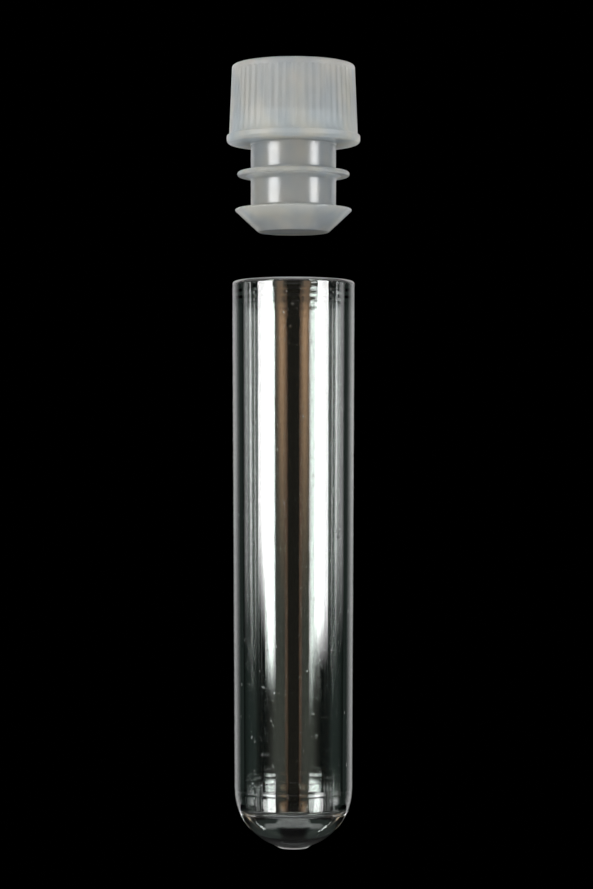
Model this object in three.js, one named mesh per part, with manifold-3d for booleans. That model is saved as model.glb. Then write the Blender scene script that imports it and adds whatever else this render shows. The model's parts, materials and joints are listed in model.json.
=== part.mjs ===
// A clear plastic test tube with its push-in stopper lifted off the mouth.
// Millimetres, +Z up. The origin is the centre of the small flat pad under the round bottom,
// and both pieces share the Z axis.

import * as THREE from 'three';
import { mergeVertices } from 'three/addons/utils/BufferGeometryUtils.js';
import Module from 'manifold-3d';

const wasm = await Module();
wasm.setup();

// Tube. It narrows slightly towards the bottom, as a moulding does to leave its mould, and its bore
// ends in a flat floor high above the round bottom, over a thick solid base.
const tubeLength = 55.4;
const tubeMouthRadius = 6.0;
const tubeDomeRadius = 5.74;
const wallThickness = 1.04;
const rimRounding = 0.4;
const mouthChamferWidth = 0.3;
const mouthChamferDepth = 0.55;
const mouthFlare = 0.22;
const mouthFlareDepth = 2.5;
const padRadius = 1.3;
const footRadius = 2.1;
const boreFloor = 3.55;
const boreFloorRounding = 0.6;
const tubeSegments = 52;
const domeSteps = 9;
const roundingSteps = 3;

// Stopper. Heights are counted up from the flat end of its nose.
const stopperLift = 60.2;
const noseRadius = 3.45;
const noseEdgeRounding = 0.2;
const noseConeRise = 0.93;
const neckRadius = 4.18;
const headUnderside = 8.7;
const stopperHeight = 16.4;
const lipRadius = 6.55;
const lipThickness = 0.8;
const headFootRadius = 6.3;
const headTopRadius = 6.02;
const headTopRounding = 0.5;
const ribCount = 52;
const grooveDepth = 0.14;
const grooveTopMargin = 0.12;
const headSegments = ribCount * 4;

// Hollow of the stopper, open at the top: a wide cup in the head, then a narrower bore in the neck.
const cupMouthRadius = 5.0;
const cupFloorRadius = 4.85;
const cupFloor = 11.3;
const neckBoreRadius = 3.2;
const noseFloorThickness = 0.9;

// Sealing fins: thin rings round the neck, a little wider than the bore that they seal.
const finFit = 0.05;
const finSegments = 52;
const upperFinRadius = 5.5;
const upperFinHeight = 5.7;
const upperFinRootThickness = 0.9;
const upperFinTipThickness = 0.42;
const lowerFinRadius = 5.7;
const lowerFinTipHeight = 2.12;
const lowerFinTopHeight = 2.42;
const lowerFinTipThickness = 0.3;

const point = (radius, height) => new THREE.Vector2(radius, height);

// Points of an arc round a centre, from one angle to another in degrees; 0 points away from the axis.
function arc(centreRadius, centreHeight, arcRadius, fromDegrees, toDegrees, steps) {
  const points = [];
  for (let i = 0; i <= steps; i += 1) {
    const angle = THREE.MathUtils.degToRad(fromDegrees + (toDegrees - fromDegrees) * i / steps);
    points.push(point(centreRadius + arcRadius * Math.cos(angle),
      centreHeight + arcRadius * Math.sin(angle)));
  }
  return points;
}

// A solid of revolution round Z from a profile of (radius, height) points.
function revolve(profile, segments) {
  const geometry = new THREE.LatheGeometry(profile, segments);
  geometry.deleteAttribute('normal');
  geometry.deleteAttribute('uv');
  geometry.rotateX(Math.PI / 2);
  return mergeVertices(geometry, 1e-5);
}

function solid(geometry) {
  const vertProperties = new Float32Array(geometry.attributes.position.array);
  const triVerts = new Uint32Array(geometry.index.array);
  return new wasm.Manifold(new wasm.Mesh({ numProp: 3, vertProperties, triVerts }));
}

function geometryOf(manifold) {
  const mesh = manifold.getMesh();
  const geometry = new THREE.BufferGeometry();
  geometry.setAttribute('position', new THREE.BufferAttribute(mesh.vertProperties, 3));
  geometry.setIndex(new THREE.BufferAttribute(mesh.triVerts, 1));
  return geometry;
}

function tubeGeometry() {
  const boreFootRadius = tubeDomeRadius - wallThickness;
  const boreMouthRadius = tubeMouthRadius - wallThickness;
  const footAngle = THREE.MathUtils.radToDeg(Math.acos(footRadius / tubeDomeRadius));
  return revolve([
    point(0, 0),
    point(padRadius, 0),
    ...arc(0, tubeDomeRadius, tubeDomeRadius, -footAngle, 0, domeSteps),
    ...arc(tubeMouthRadius - rimRounding, tubeLength - rimRounding, rimRounding, 0, 90, roundingSteps),
    point(boreMouthRadius + mouthChamferWidth, tubeLength),
    point(boreMouthRadius + mouthFlare, tubeLength - mouthChamferDepth),
    point(boreMouthRadius, tubeLength - mouthFlareDepth),
    ...arc(boreFootRadius - boreFloorRounding, boreFloor + boreFloorRounding, boreFloorRounding,
      0, -90, roundingSteps),
    point(0, boreFloor),
  ], tubeSegments);
}

// The head and its lip, as a plain solid of revolution with fine grooves sunk in the side wall,
// which leave the ribs standing between them.
function headGeometry() {
  const lipRounding = lipThickness / 2;
  const wallFoot = headUnderside + lipThickness;
  const wallTop = stopperHeight - headTopRounding;
  const grooveTop = wallTop - grooveTopMargin;
  const geometry = revolve([
    point(0, headUnderside),
    ...arc(lipRadius - lipRounding, headUnderside + lipRounding, lipRounding, -90, 60, 5),
    point(headFootRadius, wallFoot),
    point(headTopRadius, grooveTop),
    ...arc(headTopRadius - headTopRounding, wallTop, headTopRounding, 0, 90, 3),
    point(0, stopperHeight),
  ], headSegments);
  return sinkGrooves(geometry, wallFoot, grooveTop);
}

// The side wall's vertices between two heights move in, by the groove's depth halfway between ribs.
function sinkGrooves(geometry, lowest, highest) {
  const positions = geometry.attributes.position;
  const tolerance = 0.01;
  for (let i = 0; i < positions.count; i += 1) {
    const x = positions.getX(i);
    const y = positions.getY(i);
    const z = positions.getZ(i);
    if (z > lowest - tolerance && z < highest + tolerance) {
      const radius = Math.hypot(x, y);
      const depth = grooveDepth * (1 - Math.cos(Math.atan2(y, x) * ribCount)) / 2;
      positions.setXY(i, x * (1 - depth / radius), y * (1 - depth / radius));
    }
  }
  return geometry;
}

// Height of the nose's cone at a radius; the lower fin carries the same cone on outwards.
const coneHeight = (radius) => (radius - noseRadius) * noseConeRise;

function neckGeometry() {
  const intoHead = headUnderside + 0.5;
  return revolve([
    point(0, 0),
    point(noseRadius - noseEdgeRounding, 0),
    point(noseRadius + noseEdgeRounding / 2, coneHeight(noseRadius + noseEdgeRounding / 2)),
    point(neckRadius, coneHeight(neckRadius)),
    point(neckRadius, intoHead),
    point(0, intoHead),
  ], finSegments);
}

function hollowGeometry() {
  return revolve([
    point(0, noseFloorThickness),
    point(neckBoreRadius, noseFloorThickness),
    point(neckBoreRadius, cupFloor),
    point(cupFloorRadius, cupFloor),
    point(cupMouthRadius, stopperHeight + 0.4),
    point(0, stopperHeight + 0.4),
  ], finSegments);
}

function stopperGeometry() {
  const outside = solid(headGeometry()).add(solid(neckGeometry()));
  return geometryOf(outside.subtract(solid(hollowGeometry())));
}

function upperFinGeometry() {
  const root = neckRadius + finFit;
  const tipHalf = upperFinTipThickness / 2;
  return revolve([
    point(root, upperFinHeight - upperFinRootThickness * 0.6),
    point(root + 0.3, upperFinHeight - tipHalf * 1.3),
    ...arc(upperFinRadius - tipHalf, upperFinHeight, tipHalf, -90, 90, 4),
    point(root, upperFinHeight + upperFinRootThickness * 0.4),
    point(root, upperFinHeight - upperFinRootThickness * 0.6),
  ], finSegments);
}

function lowerFinGeometry() {
  const root = neckRadius + finFit;
  const tipHalf = lowerFinTipThickness / 2;
  return revolve([
    point(root, coneHeight(root)),
    ...arc(lowerFinRadius - tipHalf, lowerFinTipHeight, tipHalf, -45, 90, 3),
    point(root, lowerFinTopHeight),
    point(root, coneHeight(root)),
  ], finSegments);
}

const clearPolystyrene = new THREE.MeshStandardMaterial({
  name: 'clear_polystyrene', color: 0xe8eeee, roughness: 0.06, metalness: 0,
  transparent: true, opacity: 0.3,
});
const naturalPolyethylene = () => new THREE.MeshStandardMaterial({
  name: 'natural_polyethylene', color: 0xb9bcbc, roughness: 0.32, metalness: 0,
});

function piece(name, geometry, material, height) {
  geometry.computeVertexNormals();
  const mesh = new THREE.Mesh(geometry, material);
  mesh.name = name;
  mesh.position.set(0, 0, height);
  return mesh;
}

const testTube = new THREE.Group();
testTube.add(piece('tube', tubeGeometry(), clearPolystyrene, 0));
testTube.add(piece('stopper', stopperGeometry(), naturalPolyethylene(), stopperLift));
testTube.add(piece('upper_fin', upperFinGeometry(), naturalPolyethylene(), stopperLift));
testTube.add(piece('lower_fin', lowerFinGeometry(), naturalPolyethylene(), stopperLift));

export default testTube;
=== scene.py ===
import json
import math

import bpy
from mathutils import Matrix, Vector

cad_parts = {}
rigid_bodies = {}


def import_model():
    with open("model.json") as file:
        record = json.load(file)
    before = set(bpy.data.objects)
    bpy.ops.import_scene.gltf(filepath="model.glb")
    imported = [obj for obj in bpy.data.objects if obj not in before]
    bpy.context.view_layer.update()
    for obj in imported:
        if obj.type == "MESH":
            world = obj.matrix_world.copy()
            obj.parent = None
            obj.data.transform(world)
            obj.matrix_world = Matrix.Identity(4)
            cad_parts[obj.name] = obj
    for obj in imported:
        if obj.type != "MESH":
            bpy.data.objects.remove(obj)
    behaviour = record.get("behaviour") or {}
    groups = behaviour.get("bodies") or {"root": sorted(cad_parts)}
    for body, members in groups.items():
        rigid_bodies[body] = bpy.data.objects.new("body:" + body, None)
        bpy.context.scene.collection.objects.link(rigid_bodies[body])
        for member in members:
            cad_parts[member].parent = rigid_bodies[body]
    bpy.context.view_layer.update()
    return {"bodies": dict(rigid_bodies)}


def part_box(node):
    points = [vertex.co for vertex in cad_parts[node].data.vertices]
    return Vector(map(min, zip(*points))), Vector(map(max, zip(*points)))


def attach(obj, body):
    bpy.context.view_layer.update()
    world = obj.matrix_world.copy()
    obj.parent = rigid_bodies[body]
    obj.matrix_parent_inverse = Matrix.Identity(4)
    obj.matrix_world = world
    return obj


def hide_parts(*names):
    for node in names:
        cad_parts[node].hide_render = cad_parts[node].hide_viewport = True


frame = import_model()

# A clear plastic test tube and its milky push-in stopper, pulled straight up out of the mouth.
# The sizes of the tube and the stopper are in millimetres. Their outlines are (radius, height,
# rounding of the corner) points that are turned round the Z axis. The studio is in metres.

MM = 0.001

# ---------------------------------------------------------------- sizes taken from the frame
tube_low, tube_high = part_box("tube")
stopper_low, stopper_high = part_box("stopper")
RIM_RADIUS = tube_high.x / MM
TUBE_LENGTH = tube_high.z / MM
NOSE_END = stopper_low.z / MM
STOPPER_HEIGHT = (stopper_high.z - stopper_low.z) / MM
LIP_RADIUS = stopper_high.x / MM
UPPER_FIN_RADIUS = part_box("upper_fin")[1].x / MM
LOWER_FIN_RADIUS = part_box("lower_fin")[1].x / MM

# ---------------------------------------------------------------- tube
WALL = 1.04
DOME_RADIUS = 5.74
BORE_MOUTH_RADIUS = RIM_RADIUS - WALL
BORE_FOOT_RADIUS = DOME_RADIUS - WALL
BORE_FLOOR = 3.55
BORE_FLOOR_ROUNDING = 0.6
MOUTH_FLARE = 0.22
MOUTH_FLARE_DEPTH = 2.5
RIPPLE_PITCH = 0.65
RIPPLE_HEIGHT = 0.01
CREASE = 0.015
PAD_RADIUS = 1.3
FOOT_RADIUS = 2.1
RIM_ROUNDING = 0.4
CHAMFER_WIDTH = 0.3
CHAMFER_DEPTH = 0.55
GATE_RADIUS = 0.42
GATE_DEPTH = 0.16
TUBE_SEGMENTS = 224

# ---------------------------------------------------------------- stopper
NOSE_RADIUS = 3.45
NOSE_CONE_RISE = 0.93
NECK_RADIUS = 4.18
LOWER_FIN_TIP = 2.12
LOWER_FIN_TOP = 2.42
LOWER_FIN_THICKNESS = 0.3
UPPER_FIN_LEVEL = 5.7
UPPER_FIN_THICKNESS = 0.42
UPPER_FIN_ROOT_BELOW = 0.54
UPPER_FIN_ROOT_ABOVE = 0.36
HEAD_UNDERSIDE = 8.7
LIP_THICKNESS = 0.8
HEAD_FOOT_RADIUS = 6.3
HEAD_TOP_RADIUS = 6.02
HEAD_TOP_ROUNDING = 0.5
CUP_MOUTH_RADIUS = 5.0
CUP_FLOOR_RADIUS = 4.85
CUP_FLOOR = 11.3
NECK_BORE_RADIUS = 3.2
NOSE_FLOOR = 0.9
RIB_COUNT = 52
SEGMENTS_PER_RIB = 6

# The grooves between the ribs: the heights where they start and end, how long they take to end, and
# how deep they are at the foot, as a share, and over what height they reach their full depth.
GROOVE_DEPTH = 0.09
GROOVE_FOOT = HEAD_UNDERSIDE + LIP_THICKNESS + 0.15
GROOVE_TOP = STOPPER_HEIGHT - HEAD_TOP_ROUNDING - 0.02
GROOVE_RAMP = 0.22
GROOVE_ROWS = 9
GROOVE_FOOT_DEPTH = 0.45
GROOVE_FOOT_HEIGHT = 2.2

# Bending fins: how far inside the bore's wall a bent fin's edge runs, over what travel below the rim
# it bends, where it bends from, how much it curls up towards its edge (1 is straight), and how much
# of a fin's full rise the lower one makes, as it is thick at its root.
FIN_CLEARANCE = 0.07
FIN_BEND_START = 0.2
FIN_BEND_TRAVEL = 1.1
FIN_ROOT_RADIUS = NECK_RADIUS + 0.05
FIN_CURL = 1.25
LOWER_FIN_RISE = 0.7
BETWEEN_FINS = (LOWER_FIN_TOP + UPPER_FIN_LEVEL) / 2

# Scuffed marks under the bottom, as (share of MARKS_RADIUS from the axis, 1 where it is scuffed), and
# the heights between which they fade out.
MARKS_RADIUS = 2.0
MARKS = ((0.0, 1), (0.2, 1), (0.25, 0), (0.6, 0), (0.65, 1), (0.8, 1), (0.88, 0))
MARKS_FADE_START = 0.3
MARKS_FADE_END = 0.5

# The polyethylene is glossy on the neck and satin on the head.
NECK_ROUGHNESS = 0.24
HEAD_ROUGHNESS = 0.5


# ================================================================ meshes
def rounded(outline, steps=7, hold=0.045):
    """The outline with each corner rounded by an arc, and a point held close to each end of it. An arc
    takes up less than half of the shorter side."""
    points = [Vector(outline[0][:2])]
    for before, corner, after in zip(outline, outline[1:], outline[2:]):
        at = Vector(corner[:2])
        radius = corner[2]
        back = Vector(before[:2]) - at
        on = Vector(after[:2]) - at
        if radius <= 0:
            points.append(at)
            continue
        half = back.angle(on) / 2
        reach = min(radius / math.tan(half), 0.49 * back.length, 0.49 * on.length)
        held = reach + min(hold, 0.1 * reach + 0.01)
        radius = reach * math.tan(half)
        back.normalize()
        on.normalize()
        centre = at + (back + on).normalized() * (radius / math.sin(half))
        start = at + back * reach - centre
        end = at + on * reach - centre
        turn = start.angle_signed(end)
        points.append(at + back * held)
        for i in range(steps + 1):
            angle = -turn * i / steps
            cosine = math.cos(angle)
            sine = math.sin(angle)
            points.append(centre + Vector((cosine * start.x - sine * start.y,
                                           sine * start.x + cosine * start.y)))
        points.append(at + on * held)
    points.append(Vector(outline[-1][:2]))
    return points


def arc(centre_height, radius, start, end, steps):
    """Corner points on a round bottom: angles in degrees below the horizontal, centre on the axis."""
    found = []
    for i in range(steps + 1):
        angle = math.radians(start + (end - start) * i / steps)
        found.append((radius * math.cos(angle), centre_height - radius * math.sin(angle), 0))
    return found


def turned(name, points, segments, shape=None):
    """A mesh from a profile turned round the axis. shape, if given, moves each ring's points."""
    vertices = []
    faces = []
    rings = []
    for p in points:
        if p.x < 1e-6:
            rings.append([len(vertices)])
            vertices.append((0, 0, p.y * MM))
            continue
        ring = []
        for k in range(segments):
            angle = 2 * math.pi * k / segments
            radius = shape(p.x, p.y, angle) if shape else p.x
            ring.append(len(vertices))
            vertices.append((radius * MM * math.cos(angle), radius * MM * math.sin(angle), p.y * MM))
        rings.append(ring)
    for low, high in zip(rings, rings[1:]):
        for k in range(segments):
            n = (k + 1) % segments
            corners = [low[k % len(low)], low[n % len(low)], high[n % len(high)], high[k % len(high)]]
            faces.append(tuple(dict.fromkeys(corners)))
    mesh = bpy.data.meshes.new(name)
    mesh.from_pydata(vertices, [], faces)
    mesh.validate()
    mesh.shade_smooth()
    piece = bpy.data.objects.new(name, mesh)
    bpy.context.scene.collection.objects.link(piece)
    return piece


def mouth_ripples():
    """Corners of the faint rings in the flare at the mouth, from the top down."""
    rings = []
    for i in range(1, 6):
        depth = CHAMFER_DEPTH + i * RIPPLE_PITCH / 2
        share = (MOUTH_FLARE_DEPTH - depth) / (MOUTH_FLARE_DEPTH - CHAMFER_DEPTH)
        radius = BORE_MOUTH_RADIUS + MOUTH_FLARE * share + RIPPLE_HEIGHT * (1 if i % 2 else -1)
        rings.append((radius, TUBE_LENGTH - depth, 0.6))
    return rings


def tube_outline():
    """The tube's outline, from the gate mark under the bottom, up the outside and down the bore."""
    foot_angle = math.degrees(math.acos(FOOT_RADIUS / DOME_RADIUS))
    outside = arc(DOME_RADIUS, DOME_RADIUS, foot_angle, 0, 30)
    outside[0] = (*outside[0][:2], 0.08)
    return [
        (0, GATE_DEPTH, 0),
        (GATE_RADIUS * 0.6, GATE_DEPTH, 0.08),
        (GATE_RADIUS, 0, 0.05),
        (PAD_RADIUS, 0, 0.05),
        *outside,
        (DOME_RADIUS + CREASE, DOME_RADIUS + 0.04, 0.01),
        (RIM_RADIUS, TUBE_LENGTH, RIM_ROUNDING),
        (BORE_MOUTH_RADIUS + CHAMFER_WIDTH, TUBE_LENGTH, 0.08),
        (BORE_MOUTH_RADIUS + MOUTH_FLARE, TUBE_LENGTH - CHAMFER_DEPTH, 0.25),
        *mouth_ripples(),
        (BORE_MOUTH_RADIUS, TUBE_LENGTH - MOUTH_FLARE_DEPTH, 0.5),
        (BORE_FOOT_RADIUS, BORE_FLOOR, BORE_FLOOR_ROUNDING),
        (0, BORE_FLOOR, 0),
    ]


def stopper_outline():
    """The stopper's outline above its nose, up the outside, over the rim and down into the hollow."""
    cone_top = (LOWER_FIN_RADIUS - NOSE_RADIUS) * NOSE_CONE_RISE
    lower_round = LOWER_FIN_THICKNESS * 0.45
    upper_half = UPPER_FIN_THICKNESS / 2
    lip_half = LIP_THICKNESS / 2
    return [
        (0, 0, 0),
        (NOSE_RADIUS, 0, 0.3),
        (LOWER_FIN_RADIUS, cone_top, lower_round),
        (LOWER_FIN_RADIUS, LOWER_FIN_TIP + LOWER_FIN_THICKNESS / 2, lower_round),
        (NECK_RADIUS, LOWER_FIN_TOP, 0.16),
        (NECK_RADIUS, UPPER_FIN_LEVEL - UPPER_FIN_ROOT_BELOW, 0.35),
        (NECK_RADIUS + 0.55, UPPER_FIN_LEVEL - upper_half * 1.15, 0.4),
        (UPPER_FIN_RADIUS, UPPER_FIN_LEVEL - upper_half, upper_half * 0.95),
        (UPPER_FIN_RADIUS, UPPER_FIN_LEVEL + upper_half, upper_half * 0.95),
        (NECK_RADIUS, UPPER_FIN_LEVEL + UPPER_FIN_ROOT_ABOVE, 0.2),
        (NECK_RADIUS, HEAD_UNDERSIDE, 0.22),
        (LIP_RADIUS, HEAD_UNDERSIDE, lip_half * 0.9),
        (LIP_RADIUS, HEAD_UNDERSIDE + LIP_THICKNESS, lip_half * 0.8),
        (HEAD_FOOT_RADIUS, HEAD_UNDERSIDE + LIP_THICKNESS + 0.03, 0.2),
        *[(wall_radius(h), h, 0) for h in wall_heights()],
        (HEAD_TOP_RADIUS, STOPPER_HEIGHT, HEAD_TOP_ROUNDING),
        (CUP_MOUTH_RADIUS, STOPPER_HEIGHT, 0.15),
        (CUP_FLOOR_RADIUS, CUP_FLOOR, 0.4),
        (NECK_BORE_RADIUS, CUP_FLOOR, 0.2),
        (NECK_BORE_RADIUS, NOSE_FLOOR, 0.5),
        (0, NOSE_FLOOR, 0),
    ]


def wall_heights():
    """Heights of the head's wall where its grooves need a ring: along them, and close at their ends."""
    length = GROOVE_TOP - GROOVE_RAMP - GROOVE_FOOT
    along = [GROOVE_FOOT + length * i / GROOVE_ROWS for i in range(GROOVE_ROWS + 1)]
    ends = [GROOVE_TOP - GROOVE_RAMP * share for share in (0.66, 0.33, 0.0)]
    return along + ends


def wall_radius(height):
    """The radius of the head's wall, which narrows towards the top."""
    share = (height - GROOVE_FOOT) / (STOPPER_HEIGHT - GROOVE_FOOT)
    return HEAD_FOOT_RADIUS + (HEAD_TOP_RADIUS - HEAD_FOOT_RADIUS) * min(max(share, 0), 1)


def smooth(value, low, high):
    """0 below low and 1 above high, with an even curve between them."""
    t = min(max((value - low) / (high - low), 0), 1)
    return t * t * (3 - 2 * t)


def grooved(radius, height, angle):
    """The head's outer wall sunk between the ribs. The grooves end under the top and fade at the foot."""
    if not GROOVE_FOOT - 0.01 < height < GROOVE_TOP + 0.01 or radius < CUP_MOUTH_RADIUS + 0.5:
        return radius
    crest = 0.5 + 0.5 * math.cos(angle * RIB_COUNT)
    along = 1 - smooth(height, GROOVE_TOP - GROOVE_RAMP, GROOVE_TOP)
    deepened = smooth(height, GROOVE_FOOT, GROOVE_FOOT + GROOVE_FOOT_HEIGHT)
    foot = GROOVE_FOOT_DEPTH + (1 - GROOVE_FOOT_DEPTH) * deepened
    return radius - GROOVE_DEPTH * (1 - crest) * along * foot


# ================================================================ bending fins
def bent_position(radius, height):
    """Where a fin's point goes when the bore folds the fin up, as (radius, height); None off the fins."""
    bore = BORE_MOUTH_RADIUS - FIN_CLEARANCE
    root = FIN_ROOT_RADIUS
    if radius <= root or height > UPPER_FIN_LEVEL + UPPER_FIN_ROOT_ABOVE + 0.1:
        return None
    upper = height > BETWEEN_FINS
    tip = UPPER_FIN_RADIUS if upper else LOWER_FIN_RADIUS
    fold = math.acos((bore - root) / (tip - root))
    share = (radius - root) / (tip - root)
    lift = (tip - root) * math.sin(fold) * share ** FIN_CURL
    folded = root + (bore - root) * share
    if not upper:
        return folded, height + lift * LOWER_FIN_RISE
    across = (height - UPPER_FIN_LEVEL) * math.sin(fold) * smooth(share, 0, 0.6)
    return folded - across * 0.6, height + lift


def add_fin_bend(piece):
    """Stores how far each point of a fin moves when it is in the bore, and adds the modifier that moves
    it by that, as far as the fin has gone below the tube's rim."""
    mesh = piece.data
    for name, kind in (("fin_bend", "FLOAT_VECTOR"), ("fin_level", "FLOAT")):
        mesh.attributes.new(name, kind, "POINT")
    bend = mesh.attributes["fin_bend"]
    level = mesh.attributes["fin_level"]
    for i, v in enumerate(mesh.vertices):
        radius = math.hypot(v.co.x, v.co.y) / MM
        height = v.co.z / MM - NOSE_END
        fin = UPPER_FIN_LEVEL if height > BETWEEN_FINS else LOWER_FIN_TIP
        level.data[i].value = (fin + NOSE_END) * MM
        moved = bent_position(radius, height)
        if moved:
            out = Vector((v.co.x, v.co.y, 0)).normalized() * (moved[0] - radius) * MM
            bend.data[i].vector = out + Vector((0, 0, (moved[1] - height) * MM))
    group = bpy.data.node_groups.new("fin_bend", "GeometryNodeTree")
    group.interface.new_socket("Geometry", in_out="INPUT", socket_type="NodeSocketGeometry")
    group.interface.new_socket("Geometry", in_out="OUTPUT", socket_type="NodeSocketGeometry")
    nodes = group.nodes
    links = group.links
    start = nodes.new("NodeGroupInput")
    end = nodes.new("NodeGroupOutput")
    tube_place = nodes.new("GeometryNodeObjectInfo")
    tube_place.transform_space = "RELATIVE"
    tube_place.inputs["Object"].default_value = frame["bodies"]["tube"]
    split = nodes.new("ShaderNodeSeparateXYZ")
    level_of = nodes.new("GeometryNodeInputNamedAttribute")
    level_of.data_type = "FLOAT"
    level_of.inputs["Name"].default_value = "fin_level"
    bend_of = nodes.new("GeometryNodeInputNamedAttribute")
    bend_of.data_type = "FLOAT_VECTOR"
    bend_of.inputs["Name"].default_value = "fin_bend"
    start_height = (TUBE_LENGTH + FIN_BEND_START) * MM
    scale = nodes.new("ShaderNodeVectorMath")
    scale.operation = "SCALE"
    move = nodes.new("GeometryNodeSetPosition")
    links.new(tube_place.outputs["Location"], split.inputs[0])
    in_tube = joined(nodes, links, "SUBTRACT", level_of.outputs["Attribute"], split.outputs["Z"])
    amount = smooth_range(nodes, links, in_tube, start_height, start_height - FIN_BEND_TRAVEL * MM)
    links.new(bend_of.outputs["Attribute"], scale.inputs[0])
    links.new(amount, scale.inputs["Scale"])
    links.new(start.outputs[0], move.inputs["Geometry"])
    links.new(scale.outputs["Vector"], move.inputs["Offset"])
    links.new(move.outputs["Geometry"], end.inputs[0])
    modifier = piece.modifiers.new("fin_bend", "NODES")
    modifier.node_group = group


# ================================================================ materials
def material(name):
    """A new material, with its nodes, its links and its shader."""
    made = bpy.data.materials.new(name)
    made.use_nodes = True
    return made, made.node_tree.nodes, made.node_tree.links, made.node_tree.nodes["Principled BSDF"]


def node(nodes, kind, **inputs):
    """A new node with these inputs set. An underscore in a name stands for a space."""
    made = nodes.new(kind)
    for key, value in inputs.items():
        made.inputs[key.replace("_", " ")].default_value = value
    return made


def smooth_range(nodes, links, value, start, end, low=0.0, high=1.0):
    """A socket that goes smoothly from low to high as the value goes from start to end."""
    made = node(nodes, "ShaderNodeMapRange", From_Min=start, From_Max=end, To_Min=low, To_Max=high)
    made.interpolation_type = "SMOOTHSTEP"
    links.new(value, made.inputs["Value"])
    return made.outputs["Result"]


def joined(nodes, links, operation, first, second):
    """A socket with the result of a sum, product or the like of two sockets, or a socket and a number."""
    made = nodes.new("ShaderNodeMath")
    made.operation = operation
    links.new(first, made.inputs[0])
    if isinstance(second, bpy.types.NodeSocket):
        links.new(second, made.inputs[1])
    else:
        made.inputs[1].default_value = second
    return made.outputs[0]


def object_height(nodes, links):
    """A socket with the height in the piece's own frame, in metres."""
    split = nodes.new("ShaderNodeSeparateXYZ")
    links.new(stretched(nodes, links, (1, 1, 1)), split.inputs[0])
    return split.outputs["Z"]


def stretched(nodes, links, scale):
    """Object coordinates, scaled by three numbers per metre."""
    place = nodes.new("ShaderNodeTexCoord")
    mapping = nodes.new("ShaderNodeMapping")
    mapping.inputs["Scale"].default_value = scale
    links.new(place.outputs["Object"], mapping.inputs["Vector"])
    return mapping.outputs["Vector"]


def pad_marks(nodes, links, height):
    """1 on the gate mark and on the ring round the pad under the bottom, 0 elsewhere."""
    across = nodes.new("ShaderNodeVectorMath")
    across.operation = "LENGTH"
    links.new(stretched(nodes, links, (1, 1, 0)), across.inputs[0])
    share = joined(nodes, links, "MULTIPLY", across.outputs["Value"], 1 / (MARKS_RADIUS * MM))
    marks = nodes.new("ShaderNodeValToRGB")
    for position, value in MARKS:
        stop = marks.color_ramp.elements.new(position)
        stop.color = (value, value, value, 1)
    marks.color_ramp.elements.remove(marks.color_ramp.elements[-1])
    marks.color_ramp.elements.remove(marks.color_ramp.elements[0])
    links.new(share, marks.inputs["Fac"])
    near_the_pad = smooth_range(nodes, links, height, MARKS_FADE_END * MM, MARKS_FADE_START * MM)
    return joined(nodes, links, "MULTIPLY", marks.outputs["Color"], near_the_pad)


def clear_polystyrene():
    """Clear plastic with a light drawn-out streak and small pits, scuffed at the rim and the pad."""
    made, nodes, links, shader = material("clear_polystyrene")
    shader.inputs["Base Color"].default_value = (0.95, 0.985, 0.965, 1)
    shader.inputs["IOR"].default_value = 1.59
    shader.inputs["Transmission Weight"].default_value = 1.0
    shader.inputs["Roughness"].default_value = 0.0
    shader.inputs["Sheen Roughness"].default_value = 0.5
    height = object_height(nodes, links)
    rim_foot = (TUBE_LENGTH - RIM_ROUNDING - 0.05) * MM
    rim_top = (TUBE_LENGTH - RIM_ROUNDING / 2) * MM
    rim = smooth_range(nodes, links, height, rim_foot, rim_top)
    scuffed = joined(nodes, links, "MAXIMUM", rim, pad_marks(nodes, links, height))
    links.new(scuffed, shader.inputs["Sheen Weight"])
    specks = node(nodes, "ShaderNodeTexVoronoi", Scale=1.0)
    links.new(stretched(nodes, links, (800, 800, 600)), specks.inputs["Vector"])
    pit = smooth_range(nodes, links, specks.outputs["Distance"], 0.02, 0.1)
    pits = node(nodes, "ShaderNodeBump", Strength=1.0, Distance=0.00003)
    links.new(pit, pits.inputs["Height"])
    streaks = node(nodes, "ShaderNodeTexNoise", Scale=1.0, Detail=3.0, Roughness=0.6)
    links.new(stretched(nodes, links, (900, 900, 26)), streaks.inputs["Vector"])
    bump = node(nodes, "ShaderNodeBump", Strength=0.06, Distance=0.00001)
    links.new(streaks.outputs["Fac"], bump.inputs["Height"])
    links.new(pits.outputs["Normal"], bump.inputs["Normal"])
    links.new(bump.outputs["Normal"], shader.inputs["Normal"])
    return made


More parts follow.
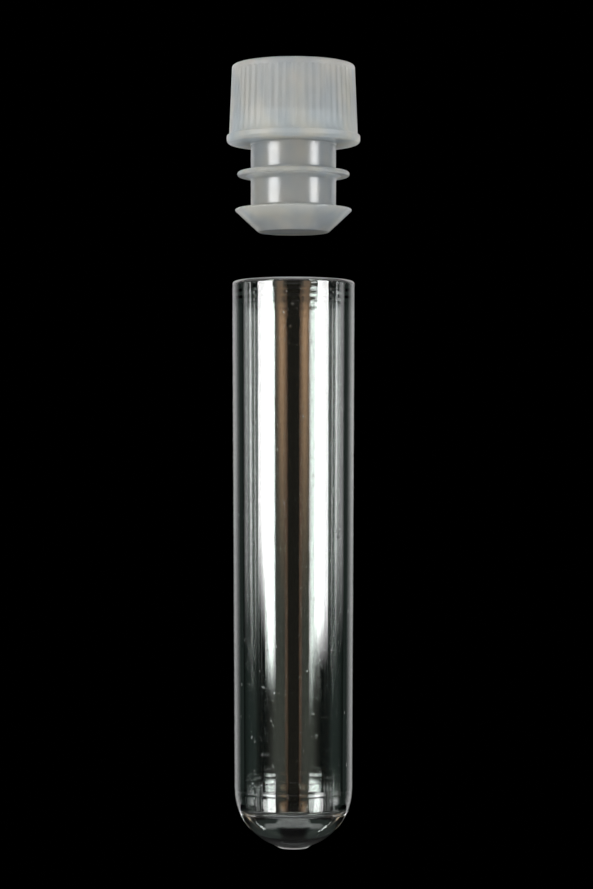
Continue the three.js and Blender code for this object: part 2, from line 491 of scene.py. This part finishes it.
def natural_polyethylene():
    """Milky translucent plastic with a cloudy tone and fine grain, glossier on the neck."""
    made, nodes, links, shader = material("natural_polyethylene")
    shader.inputs["IOR"].default_value = 1.51
    shader.inputs["Subsurface Weight"].default_value = 1.0
    shader.inputs["Subsurface Radius"].default_value = (0.022, 0.022, 0.022)
    shader.inputs["Subsurface Scale"].default_value = 1.0
    clouds = node(nodes, "ShaderNodeTexNoise", Scale=1.0, Detail=2.0, Roughness=0.5)
    links.new(stretched(nodes, links, (260, 260, 150)), clouds.inputs["Vector"])
    tone = nodes.new("ShaderNodeValToRGB")
    tone.color_ramp.elements[0].position = 0.38
    tone.color_ramp.elements[0].color = (0.33, 0.38, 0.41, 1)
    tone.color_ramp.elements[1].position = 0.62
    tone.color_ramp.elements[1].color = (0.47, 0.47, 0.405, 1)
    links.new(clouds.outputs["Fac"], tone.inputs["Fac"])
    links.new(tone.outputs["Color"], shader.inputs["Base Color"])
    grain = node(nodes, "ShaderNodeTexNoise", Scale=2400.0, Detail=3.0, Roughness=0.55)
    links.new(stretched(nodes, links, (1, 1, 1)), grain.inputs["Vector"])
    neck_end = (NOSE_END + HEAD_UNDERSIDE - 0.5) * MM
    lip_top = (NOSE_END + HEAD_UNDERSIDE + LIP_THICKNESS) * MM
    height = object_height(nodes, links)
    rough = smooth_range(nodes, links, height, neck_end, lip_top, NECK_ROUGHNESS, HEAD_ROUGHNESS)
    links.new(rough, shader.inputs["Roughness"])
    bump = node(nodes, "ShaderNodeBump", Strength=0.15, Distance=0.00001)
    links.new(grain.outputs["Fac"], bump.inputs["Height"])
    links.new(bump.outputs["Normal"], shader.inputs["Normal"])
    return made


# ================================================================ pieces
def make_tube():
    piece = turned("test_tube", rounded(tube_outline()), TUBE_SEGMENTS)
    piece.data.materials.append(clear_polystyrene())
    piece.visible_shadow = False
    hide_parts("tube")
    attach(piece, "tube")


def make_stopper():
    points = rounded(stopper_outline())
    piece = turned("ribbed_stopper", points, RIB_COUNT * SEGMENTS_PER_RIB, grooved)
    for v in piece.data.vertices:
        v.co.z += NOSE_END * MM
    add_fin_bend(piece)
    piece.data.materials.append(natural_polyethylene())
    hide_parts("stopper", "upper_fin", "lower_fin")
    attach(piece, "stopper")


# ================================================================ studio
# Metres, and the lens in millimetres.
CAMERA_DISTANCE = 0.260
CAMERA_HEIGHT = 0.0354
AIM_HEIGHT = 0.0394
CAMERA_SIDE = 0.0003
LENS = 107.5
FLOOR_DROP = 0.25
FLOOR_RADIUS = 1.1
FLOOR_RINGS = 24
FLOOR_SEGMENTS = 96


def make_camera():
    data = bpy.data.cameras.new("camera")
    data.lens = LENS
    data.sensor_width = 36.0
    data.clip_start = 0.01
    data.clip_end = 10.0
    camera = bpy.data.objects.new("camera", data)
    bpy.context.scene.collection.objects.link(camera)
    camera.location = (CAMERA_SIDE, -CAMERA_DISTANCE, CAMERA_HEIGHT)
    aim = Vector((CAMERA_SIDE, 0, AIM_HEIGHT)) - camera.location
    camera.rotation_euler = aim.to_track_quat("-Z", "Y").to_euler()
    bpy.context.scene.camera = camera


def softbox(name, azimuth, distance, width, low, high, radiance, colour=(1, 1, 1), fade=(0.15, 0.1),
            roll=0):
    """A tall lamp that faces the axis, from the height low to the height high. azimuth and roll are in
    degrees, azimuth from the camera's side and + to its right. fade is the share of its half width and
    of its height over which its edges and its foot fall off."""
    data = bpy.data.lights.new(name, "AREA")
    data.shape = "RECTANGLE"
    data.size = width
    data.size_y = high - low
    data.energy = radiance * math.pi * width * (high - low)
    data.color = colour
    lamp = bpy.data.objects.new(name, data)
    bpy.context.scene.collection.objects.link(lamp)
    lamp.visible_camera = False
    a = math.radians(azimuth)
    lamp.location = (distance * math.sin(a), -distance * math.cos(a), (low + high) / 2)
    facing = Matrix.Rotation(a, 3, "Z") @ Matrix.Rotation(math.pi / 2, 3, "X")
    lamp.rotation_euler = (facing @ Matrix.Rotation(math.radians(roll), 3, "Z")).to_euler()
    data.use_nodes = True
    nodes = data.node_tree.nodes
    links = data.node_tree.links
    place = nodes.new("ShaderNodeNewGeometry")
    split = nodes.new("ShaderNodeSeparateXYZ")
    links.new(place.outputs["Parametric"], split.inputs[0])
    from_the_edge = joined(nodes, links, "PINGPONG", split.outputs["X"], 0.5)
    sides = smooth_range(nodes, links, from_the_edge, 0, fade[0] / 2)
    foot = smooth_range(nodes, links, split.outputs["Y"], 0, fade[1])
    links.new(joined(nodes, links, "MULTIPLY", sides, foot), nodes["Emission"].inputs["Strength"])
    return lamp


def receivers(name, piece, state):
    """A collection that makes a lamp light only this piece (INCLUDE) or everything else (EXCLUDE)."""
    group = bpy.data.collections.new(name)
    group.objects.link(bpy.data.objects[piece])
    group.collection_objects[0].light_linking.link_state = state
    return group


def make_lights():
    """Tall lamps at both sides, fainter ones behind and in front, one at the top that alone lights the
    floor, one for the tube's rim and one under the stopper."""
    # name, azimuth, distance, width, low, high, radiance, colour
    softbox("key_left", -54.8, 0.7, 0.385, -0.036, 0.22, 16, fade=(0.05, 0.2), roll=-5)
    softbox("key_right", 57.8, 0.7, 0.29, -0.038, 0.22, 16, fade=(0.05, 0.12), roll=0.5)
    softbox("side_left", -101, 0.7, 0.22, -0.03, 0.12, 1.9, fade=(0.9, 0.3))
    softbox("side_right", 103, 0.7, 0.28, -0.03, 0.12, 2.2, fade=(0.9, 0.3))
    softbox("gleam_left", -88.8, 0.7, 0.06, -0.045, 0.12, 5.0, fade=(0.9, 0.45))
    softbox("gleam_right", 89.5, 0.7, 0.06, -0.045, 0.12, 4.5, fade=(0.9, 0.45))
    softbox("back_left", -160, 0.8, 0.22, 0.0, 0.12, 0.12, fade=(0.5, 0.5))
    softbox("back_right", 160, 0.8, 0.22, 0.0, 0.12, 0.12, fade=(0.5, 0.5))
    for side in (-1, 1):
        edge = softbox("edge", side * 147, 0.8, 0.78, -0.24, 0.75, 1.0, fade=(1.0, 0.02))
        edge.visible_transmission = False
        softbox("warm", side * 25, 0.7, 0.26, -0.02, 0.13, 1.7, (1.0, 0.56, 0.3), fade=(0.8, 0.85))
        softbox("line", side * 15, 0.7, 0.06, -0.1, 0.1, 0.8, (1.0, 0.55, 0.35), fade=(1.0, 0.3))
        softbox("haze", side * 148, 0.8, 0.7, -0.2, 0.2, 0.022, (0.75, 1.0, 0.9), fade=(0.3, 0.1))
        softbox("haze", side * 78, 0.8, 0.55, -0.2, 0.2, 0.03, (0.85, 1.0, 0.95), fade=(0.3, 0.1))
        softbox("fill", side * 34, 0.75, 0.62, -0.3, 0.4, 0.24, (0.95, 1.0, 0.85), fade=(0.5, 0.1))
    softbox("front", 0, 0.8, 0.5, -0.3, 0.4, 0.06, (1.0, 0.9, 0.75), fade=(0.5, 0.1))
    top = softbox("top", 0, 0.0, 0.35, 0.425, 0.775, 2.0)
    top.rotation_euler = (0, 0, 0)
    not_the_floor = receivers("not_the_floor", "floor", "EXCLUDE")
    for lamp in bpy.context.scene.objects:
        if lamp.type == "LIGHT" and lamp != top:
            lamp.light_linking.receiver_collection = not_the_floor
    crown = softbox("crown", 0, 0.35, 0.6, 0.3, 0.6, 3.0, fade=(0.3, 0.2))
    crown.light_linking.receiver_collection = receivers("tube_only", "test_tube", "INCLUDE")
    under = softbox("under", 0, 0.5, 0.6, -0.45, -0.05, 3.5, fade=(0.6, 0.3))
    under.light_linking.receiver_collection = receivers("stopper_only", "ribbed_stopper", "INCLUDE")
    world = bpy.data.worlds.new("world")
    world.use_nodes = True
    world.node_tree.nodes["Background"].inputs["Color"].default_value = (0.0, 0.0, 0.0, 1)
    bpy.context.scene.world = world


def make_floor():
    """A plain disc below the part whose colour darkens towards its edge: a painted fall-off of light
    round a pale middle.
    """
    outline = [Vector((FLOOR_RADIUS / MM * i / FLOOR_RINGS, 0)) for i in range(FLOOR_RINGS, -1, -1)]
    floor = turned("floor", outline, FLOOR_SEGMENTS)
    floor.location = (0, 0, -FLOOR_DROP)
    made, nodes, links, shader = material("pale_floor")
    shader.inputs["Roughness"].default_value = 0.8
    place = nodes.new("ShaderNodeTexCoord")
    length = nodes.new("ShaderNodeVectorMath")
    length.operation = "LENGTH"
    links.new(place.outputs["Object"], length.inputs[0])
    from_middle = length.outputs["Value"]
    # Painted light: the colour is pale in the middle and fades to black towards the edge, a painted pool
    # of light and its fall-off.
    tone = smooth_range(nodes, links, from_middle, FLOOR_RADIUS * 0.8, FLOOR_RADIUS * 0.15, high=0.7)
    links.new(tone, shader.inputs["Base Color"])
    floor.data.materials.append(made)


def set_render_look():
    scene = bpy.context.scene
    scene.view_settings.view_transform = "Standard"
    scene.cycles.max_bounces = 24
    scene.cycles.glossy_bounces = 12
    scene.cycles.transmission_bounces = 20
    scene.cycles.sample_clamp_indirect = 10.0
    scene.cycles.blur_glossy = 1.0
    scene.cycles.caustics_refractive = False
    scene.cycles.caustics_reflective = False


make_camera()
make_tube()
make_stopper()
make_floor()
make_lights()
set_render_look()
